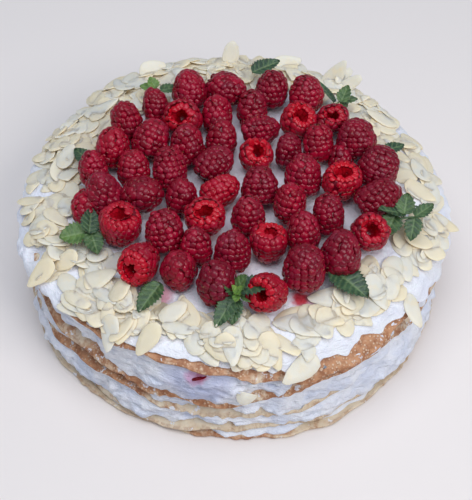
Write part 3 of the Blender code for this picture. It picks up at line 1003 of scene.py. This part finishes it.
def flake_outline(length, width, point, cut, turn):
    """Gives an almond flake's outline: rounded at one end, more pointed at the other, perhaps broken across."""
    across = width / 2 * np.sin(turn) * (1 - point * np.cos(turn)) ** (1 + point)
    along = np.minimum(length / 2 * np.cos(turn), cut * length / 2)
    return along, across


def flake_mesh(number, length, width, point, cut, curl):
    """Makes one flake: a thin slightly curled slab whose middle is its origin."""
    turn = (np.arange(FLAKE_SIDES) + 0.5) * 2 * np.pi / FLAKE_SIDES
    along, across = flake_outline(length, width, point, cut, turn)
    draw = np.random.default_rng(900 + number)
    uneven = 1 + draw.uniform(-0.035, 0.035, FLAKE_SIDES)
    along, across = along * uneven, across * uneven
    rows, rims = [], []
    for share, height, rim in ((0.5, 0.5, 0), (0.965, 0.44, 0.25), (1.0, 0.0, 1), (0.965, -0.44, 0.25), (0.5, -0.5, 0)):
        x, y = along * share, across * share
        bend = curl * ((x / (length / 2)) ** 2 * 0.6 - (y / (width / 2)) ** 2 * 0.3)
        rows.append(np.stack([x, y, height * FLAKE_THICK + bend], -1))
        rims.append(np.full(FLAKE_SIDES, float(rim)))
    points = np.concatenate([np.concatenate(rows), [(0, 0, FLAKE_THICK / 2)], [(0, 0, -FLAKE_THICK / 2)]])
    marks = {"rim": np.concatenate([*rims, [0.0], [0.0]])}
    return new_mesh(f"flake_{number}", points / MM, disc_faces(len(rows), FLAKE_SIDES), marks)


FLAKES = 500
REACH = 132  # the settling grid runs this far each way, in millimetres
STEPS = np.linspace(-1, 1, 7)
# Places in the almond ring that stay bare, so that the cream shows: (x, y, radius)
CLEARINGS = (
    (92, -64, 8), (104, -52, 7), (62, -96, 8), (78, -84, 6), (44, -100, 5), (100, -8, 7), (88, -44, 6), (-91, -68, 6),
    (-34, -79, 7), (-64, -62, 6), (96, 22, 6), (-106, -3, 5), (24, -96, 6), (-20, -84, 5), (70, -72, 5), (-100, -52, 4),
    (37, -78, 8), (84, -76, 6), (-107, -46, 6), (-95, 55, 6), (101, -62, 6), (52, -104, 5), (-104, 12, 4), (-70, -80, 5),
)
# Flakes that stand out, laid one by one on top of the rest: (x, y, bearing, kind, lift, tilt outwards in degrees)
LAID_FLAKES = (
    (118, -14, 10, 3, 0.0, 5), (35, -112, 215, 1, 0.0, 40), (96, -71, 300, 5, 0.0, 40), (-62, -98, 265, 1, 0.0, 45),
    (-57, -74, 55, 1, 0.5, 8), (-30, -88, 35, 0, 1.0, 8), (-101, -62, 210, 1, 1.3, 12), (12, -96, 240, 0, 0.3, 10),
    (58, -76, 310, 2, 0.3, 8), (75, -70, 300, 1, 0.3, 8), (-42, -103, 225, 5, 0.0, 40), (-4, -109, 250, 6, 0.0, 35),
    (-96, 20, 70, 0, 0.5, 6), (-80, 62, 20, 3, 0.5, 6), (60, 92, 60, 1, 0.6, -25), (66, 96, 50, 9, 0.6, -45),
    (-88, -56, 200, 2, 0.4, 10), (20, -107, 300, 1, 0.2, 20), (100, -34, 350, 0, 0.3, 8), (104, 2, 330, 1, 0.4, 6),
)

# Flakes stuck on edge: (middle, the way its face looks, the way its long axis points, kind)
STUCK_FLAKES = (
    ((8.6, -119.4, 41.5), (0.07, -1, 0.3), (0.35, 0, 1), 7), ((-4, 112, 66), (0.15, -1, 0.45), (0.1, 0.3, 1), 0),
    ((60, 94, 66), (-0.3, -1, 0.5), (0.5, 0.2, 0.9), 3), ((69, 88, 65), (-0.5, -0.8, 0.7), (0.9, 0.1, 0.7), 9),
    ((-52, 99, 64), (0.2, -0.8, 0.9), (1, 0.2, 0.2), 2), ((30, 107, 64), (0, -0.8, 0.8), (1, 0, 0.25), 5),
)


def settle_flakes():
    """Drops flakes one by one on the cream and on each other, and gives where and how each comes to lie."""
    draw = np.random.default_rng(77)
    axis = np.arange(-REACH, REACH + 1, dtype=float)
    grid_x, grid_y = np.meshgrid(axis, axis, indexing="ij")
    radius, bearing = np.hypot(grid_x, grid_y), np.arctan2(grid_y, grid_x) % (2 * np.pi)
    cream_rim = rim_radius(TOP, bearing)
    ground = top_height(np.stack([grid_x, grid_y], -1))
    ground = np.where(radius > cream_rim, ground - 1.2 * (radius - cream_rim) - 0.5, ground)
    for _, width, length, _, _, middle in BERRIES:
        away = np.hypot(grid_x - middle[0], grid_y - middle[1])
        ground = np.where(away < width * 0.36, np.maximum(ground, middle[2] - 4), ground)
    kinds, places, ways, spins, tones = [], [], [], [], []

    def lie(x, y, heading, kind, lift, lean, force=False):
        length, width = FLAKE_KINDS[kind][:2]
        u, v = np.meshgrid(STEPS * length / 2, STEPS * width / 2, indexing="ij")
        inside = (u / (length / 2)) ** 2 + (v / (width / 2)) ** 2 < 1.02
        u, v = u[inside], v[inside]
        c, s = math.cos(heading), math.sin(heading)
        px, py = x + u * c - v * s, y + u * s + v * c
        cells = (np.clip(np.round(px + REACH).astype(int), 0, 2 * REACH),
                 np.clip(np.round(py + REACH).astype(int), 0, 2 * REACH))
        under = ground[cells]
        weight = np.ones_like(under)
        base = np.stack([px - x, py - y, np.ones_like(px)], -1)
        for _ in range(3):
            plane = np.linalg.lstsq(base * weight[:, None], under * weight, rcond=None)[0]
            gap = under - base @ plane
            weight = np.where(gap > np.quantile(gap, 0.5), 1.0, 0.25)
        slope = np.array(plane[:2])
        outward = np.array([x, y]) / max(math.hypot(x, y), 1)
        slope -= outward * math.tan(math.radians(lean))
        steep = np.hypot(*slope)
        most = 0.85 if force or math.hypot(x, y) > 112 else 0.42
        slope *= min(1, most / max(steep, 1e-6))
        offset = np.quantile(under - base[:, :2] @ slope, 0.93)
        top = offset + base[:, :2] @ slope + FLAKE_THICK * 0.9 + lift
        np.maximum.at(ground, cells, top)
        up = np.array([-slope[0], -slope[1], 1.0])
        kinds.append(kind)
        places.append((x, y, offset + FLAKE_THICK * 0.45 + lift))
        ways.append(up / np.linalg.norm(up))
        spins.append((c, s, slope[0] * c + slope[1] * s))
        tones.append(draw.uniform())

    tries = 0
    while len(kinds) < FLAKES and tries < 16000:
        tries += 1
        turn, spread = draw.uniform(0, 2 * math.pi), draw.uniform()
        heading, kind, lean = draw.uniform(0, 2 * math.pi), draw.integers(0, len(FLAKE_KINDS)), draw.normal(0, 5)
        keep = draw.uniform()
        far = math.sqrt(74**2 + (117.0**2 - 74**2) * spread)
        x, y = far * math.cos(turn), far * math.sin(turn)
        if keep > 0.78 + 0.22 * math.cos(turn - math.radians(205)):
            continue
        if far > float(rim_radius(TOP, np.array(turn))) - 1.5 + 2.5 * math.cos(turn - math.radians(130)):
            continue
        if any(math.hypot(x - row[5][0], y - row[5][1]) < row[1] * 0.5 + 4.5 for row in BERRIES):
            continue
        if any(math.hypot(x - cx, y - cy) < size for cx, cy, size in CLEARINGS):
            continue
        if draw.uniform() < 0.05:
            lean += draw.uniform(-22, 22)
        lie(x, y, heading, int(kind), 0.0, lean)
    for x, y, degrees, kind, lift, lean in LAID_FLAKES:
        lie(x, y, math.radians(degrees), kind, lift, lean, True)
    for place, way, spin, kind in STUCK_FLAKES:
        kinds.append(kind)
        places.append(place)
        ways.append(np.array(way) / np.linalg.norm(way))
        spins.append(spin)
        tones.append(0.9)
    return np.array(places), turns_to(ways, spins), np.full((len(kinds), 3), MM), kinds, {"tone": np.array(tones)}


FLAKE_SHAPES = shape_set("almond_flakes", [flake_mesh(number, *kind) for number, kind in enumerate(FLAKE_KINDS)])
almonds = scattered("flaked_almonds", settle_flakes(), FLAKE_SHAPES, ALMOND, unevenness=0.09, seed=5)
almonds.data.shade_smooth()
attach(almonds, BODY)

# ---------------------------------------------------------------- mint

# name, x, y, z of the stalk end, bearing, height, length, width, how young, roll
LEAVES = (
    ("left_a", -77, -42, 72, 90, 7, 17, 9, 0, 20), ("left_b", -79, -40, 71, 193, -4, 14, 11, 0.5, -10),
    ("left_c", -76, -40, 71, 290, -8, 14, 9, 0.2, 0), ("left_single", -79, 8, 72, 129, -6, 20, 9, 0, 0),
    ("back_a", -47, 67, 77, 164, -6, 11, 7, 0.8, 0), ("back_b", -48, 67, 77, 120, 25, 8, 6, 0.8, 0),
    ("back_c", -45, 65, 77, 25, -6, 12, 7, 0.1, 0), ("back_leaf", 9, 87, 73, 27, 8, 19, 10, 0, 0),
    ("narrow", 57, 60, 75, 113, -2, 23, 6, 0, 30), ("br_a", 61, 58, 77, 67, 23, 12, 7, 0.3, 0),
    ("br_b", 61, 60, 77, 8, 0, 10, 6, 0.1, 0), ("br_c", 61, 61, 77, 316, -30, 6, 5, 0.1, 0),
    ("right_tip", 84, 21, 75, 31, -6, 14, 7, 0, 0), ("r_a", 91, -26, 75, 193, 27, 17, 9, 0, 10),
    ("r_b", 91, -27, 76, 79, 30, 12, 9, 0.2, 0), ("r_c", 97, -27, 74, 39, 5, 14, 7, 0.1, 0),
    ("r_d", 97, -27, 74, 258, -20, 14, 8, 0.1, 0), ("r_e", 86, -29, 77, 242, -14, 14, 10, 0.2, 0),
    ("big", 51, -61, 71, 318, -5, 25, 14, 0, 0), ("front_left", -37, -74, 72, 235, -13, 19, 11, 0.15, 12),
    ("c_upleft", 1, -81, 75, 155, 50, 12, 8, 0.2, 0), ("c_up", 2, -81, 77, 29, 60, 11, 7, 0.4, 0),
    ("c_right", 3, -81, 78, 1, 17, 18, 10, 0, 0), ("c_down", 1, -83, 74, 239, -14, 19, 9, 0.1, 0),
    ("c_down2", 2, -84, 74, 261, -20, 14, 7, 0.1, 0), ("c_rightdown", 4, -83, 76, 335, -8, 8, 5, 0.3, 0),
    ("c_young1", 2, -83, 77, 154, 60, 6, 3.5, 1, 0), ("c_young2", 2, -83, 77, 19, 58, 6, 3.5, 1, 0),
    ("c_young3", 2, -84, 77, 264, 15, 6, 3.5, 1, 0), ("c_young4", 2, -83, 77, 300, 40, 5, 3, 1, 0),
)
# Stalks: start and end in millimetres, half thickness
STALKS = (((88, -31, 77), (98, -27, 74), 0.6), ((-80, -41, 71), (-74, -40, 71), 0.6), ((2, -81, 72), (2.5, -83.5, 78), 0.6),
          ((57, 57, 75), (62, 61, 77), 0.5))
LEAF_ROWS, LEAF_SIDE, LEAF_THICK = 48, 6, 0.28


def leaf_mesh(name, x, y, z, bearing, height, length, width, young, roll):
    """Makes one mint leaf, closed: toothed rim, sunken midrib, quilted between the side veins, tip curling down."""
    points, faces, marks = [], [], {"vein": [], "young": []}
    across = np.arange(-LEAF_SIDE, LEAF_SIDE + 1) / LEAF_SIDE
    teeth = max(5, round(length / 1.9))
    for face in (1, -1):
        for row in range(LEAF_ROWS + 1):
            share = row / LEAF_ROWS
            half = width * 0.56 * (math.sin(math.pi * share**0.72) ** 0.68 if 0 < share < 1 else 0.02)
            tooth = (share * teeth) % 1
            half *= 1.08 + 0.3 * (tooth - 0.5) * smooth(0.06, 0.16, share) * (1 - smooth(0.92, 1, share))
            for side in across:
                rib = abs(side)
                vein_at = (share * teeth * 0.62 - rib * 1.15) % 1
                vein = max(math.exp(-((rib / 0.07) ** 2)), 0.8 * math.exp(-(((vein_at - 0.5) / 0.11) ** 2)) * (rib < 0.9))
                quilt = 0.35 * (1 - vein) * (1 - rib**2)
                cup = 0.16 * width * rib**1.6 - 0.10 * length * share**2 + 0.05 * length * share
                points.append((length * share - 0.04 * half * rib, side * half,
                               quilt + cup + face * LEAF_THICK / 2 * (1 - 0.8 * rib**6)))
                marks["vein"].append(vein)
                marks["young"].append(young)
    wide = len(across)
    step = (LEAF_ROWS + 1) * wide
    for row in range(LEAF_ROWS):
        for column in range(wide - 1):
            a = row * wide + column
            faces.append((a, a + wide, a + wide + 1, a + 1))
            faces.append((step + a, step + a + 1, step + a + wide + 1, step + a + wide))
        low, high = row * wide, row * wide + wide - 1
        faces.append((low, step + low, step + low + wide, low + wide))
        faces.append((high + wide, step + high + wide, step + high, high))
    for column in range(wide - 1):
        end = LEAF_ROWS * wide + column
        faces.append((column + 1, step + column + 1, step + column, column))
        faces.append((end, step + end, step + end + 1, end + 1))
    turn = Euler((math.radians(roll), math.radians(-height), math.radians(bearing))).to_matrix()
    points = np.array(points) @ np.array(turn).T + (x, y, z)
    return points, np.array(faces), {key: np.array(value, float) for key, value in marks.items()}


def stalk_parts(start, end, thick):
    """Makes one round stalk between two places, closed at both ends."""
    start, end = Vector(start), Vector(end)
    way = (end - start).normalized()
    side = way.orthogonal().normalized()
    other = way.cross(side)
    around, rows = 8, 6
    points = []
    for row in range(rows):
        share = row / (rows - 1)
        middle = start.lerp(end, share) + Vector((0, 0, 0.5 * math.sin(math.pi * share)))
        size = thick * (1 - 0.3 * share)
        for turn in np.arange(around) * 2 * math.pi / around:
            points.append(tuple(middle + (side * math.cos(turn) + other * math.sin(turn)) * size))
    faces = [
        (row * around + here, row * around + (here + 1) % around, (row + 1) * around + (here + 1) % around,
         (row + 1) * around + here)
        for row in range(rows - 1) for here in range(around)
    ]
    last = (rows - 1) * around
    for here in range(1, around - 2, 2):
        faces.append((0, here + 2, here + 1, here))
        faces.append((last, last + here, last + here + 1, last + here + 2))
    zero = np.zeros(len(points))
    return np.array(points), np.array(faces), {"vein": zero + 0.3, "young": zero + 0.15}


def joined_mesh(name, parts):
    """Joins parts, each its points, quads and marks, into one mesh."""
    offset, points, faces, marks = 0, [], [], {key: [] for key in parts[0][2]}
    for some, quads, carried in parts:
        points.append(some)
        faces.append(quads + offset)
        offset += len(some)
        for key, values in carried.items():
            marks[key].append(values)
    return new_mesh(name, np.concatenate(points), [np.concatenate(faces)],
                    {key: np.concatenate(values) for key, values in marks.items()})


leaves = [leaf_mesh(*row) for row in LEAVES] + [stalk_parts(*row) for row in STALKS]
mint = new_piece("mint_leaves", joined_mesh("mint_leaves", leaves), MINT)
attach(mint, BODY)

# ---------------------------------------------------------------- floor, light and camera


def floor_finish():
    """A plain pale matt surface."""
    finish = Finish("pale_floor", {"Roughness": 0.9})
    finish.feed("Base Color", finish.mix(finish.blobs(400, 1) * 0.2, paint(236, 228, 224), paint(230, 222, 219)))
    return finish.material


def make_floor():
    """Makes the floor that the cake stands on."""
    half = 3000
    corners = np.array([(-half, -half, 0), (half, -half, 0), (half, half, 0), (-half, half, 0)], float)
    floor = new_piece("floor", new_mesh("floor", corners, [np.array([[0, 1, 2, 3]])]), floor_finish())


def make_light(name, place, size, power, colour):
    """Hangs a square lamp that faces the cake: place and size in metres."""
    lamp = bpy.data.lights.new(name, "AREA")
    lamp.size, lamp.energy, lamp.color = size, power, colour
    hung = bpy.data.objects.new(name, lamp)
    hung.location = place
    hung.rotation_euler = (Vector((0, 0, 0.03)) - Vector(place)).to_track_quat("-Z", "Y").to_euler()
    bpy.context.scene.collection.objects.link(hung)


def make_camera():
    """Sets the camera: it looks down on the front of the cake, a little off level."""
    camera = bpy.data.cameras.new("camera")
    camera.lens = 79.69
    stand = bpy.data.objects.new("camera", camera)
    away, height_angle, target = 0.650, math.radians(49.8), 0.025
    place = Vector((0, -away * math.cos(height_angle), target + away * math.sin(height_angle)))
    tip, swing, roll = math.radians(39.38), math.radians(-0.19), math.radians(1.29)
    turn = Matrix.Rotation(swing, 4, "Z") @ Matrix.Rotation(tip, 4, "X") @ Matrix.Rotation(roll, 4, "Z")
    stand.matrix_world = Matrix.Translation(place) @ turn
    bpy.context.scene.collection.objects.link(stand)
    bpy.context.scene.camera = stand


def make_sky():
    """Sets an even cool light from all round."""
    world = bpy.data.worlds.new("studio")
    bpy.context.scene.world = world
    world.use_nodes = True
    sky = world.node_tree.nodes["Background"]
    sky.inputs["Color"].default_value = (0.76, 0.86, 1.0, 1.0)
    sky.inputs["Strength"].default_value = 0.38


make_floor()
make_sky()
make_light("key", (0.62, -0.58, 0.9), 0.6, 6.0, (1.0, 0.985, 0.98))
make_light("above", (-0.14, -0.12, 1.2), 0.9, 7.4, (0.89, 0.935, 1.0))
make_camera()
bpy.context.scene.view_settings.view_transform = "Standard"
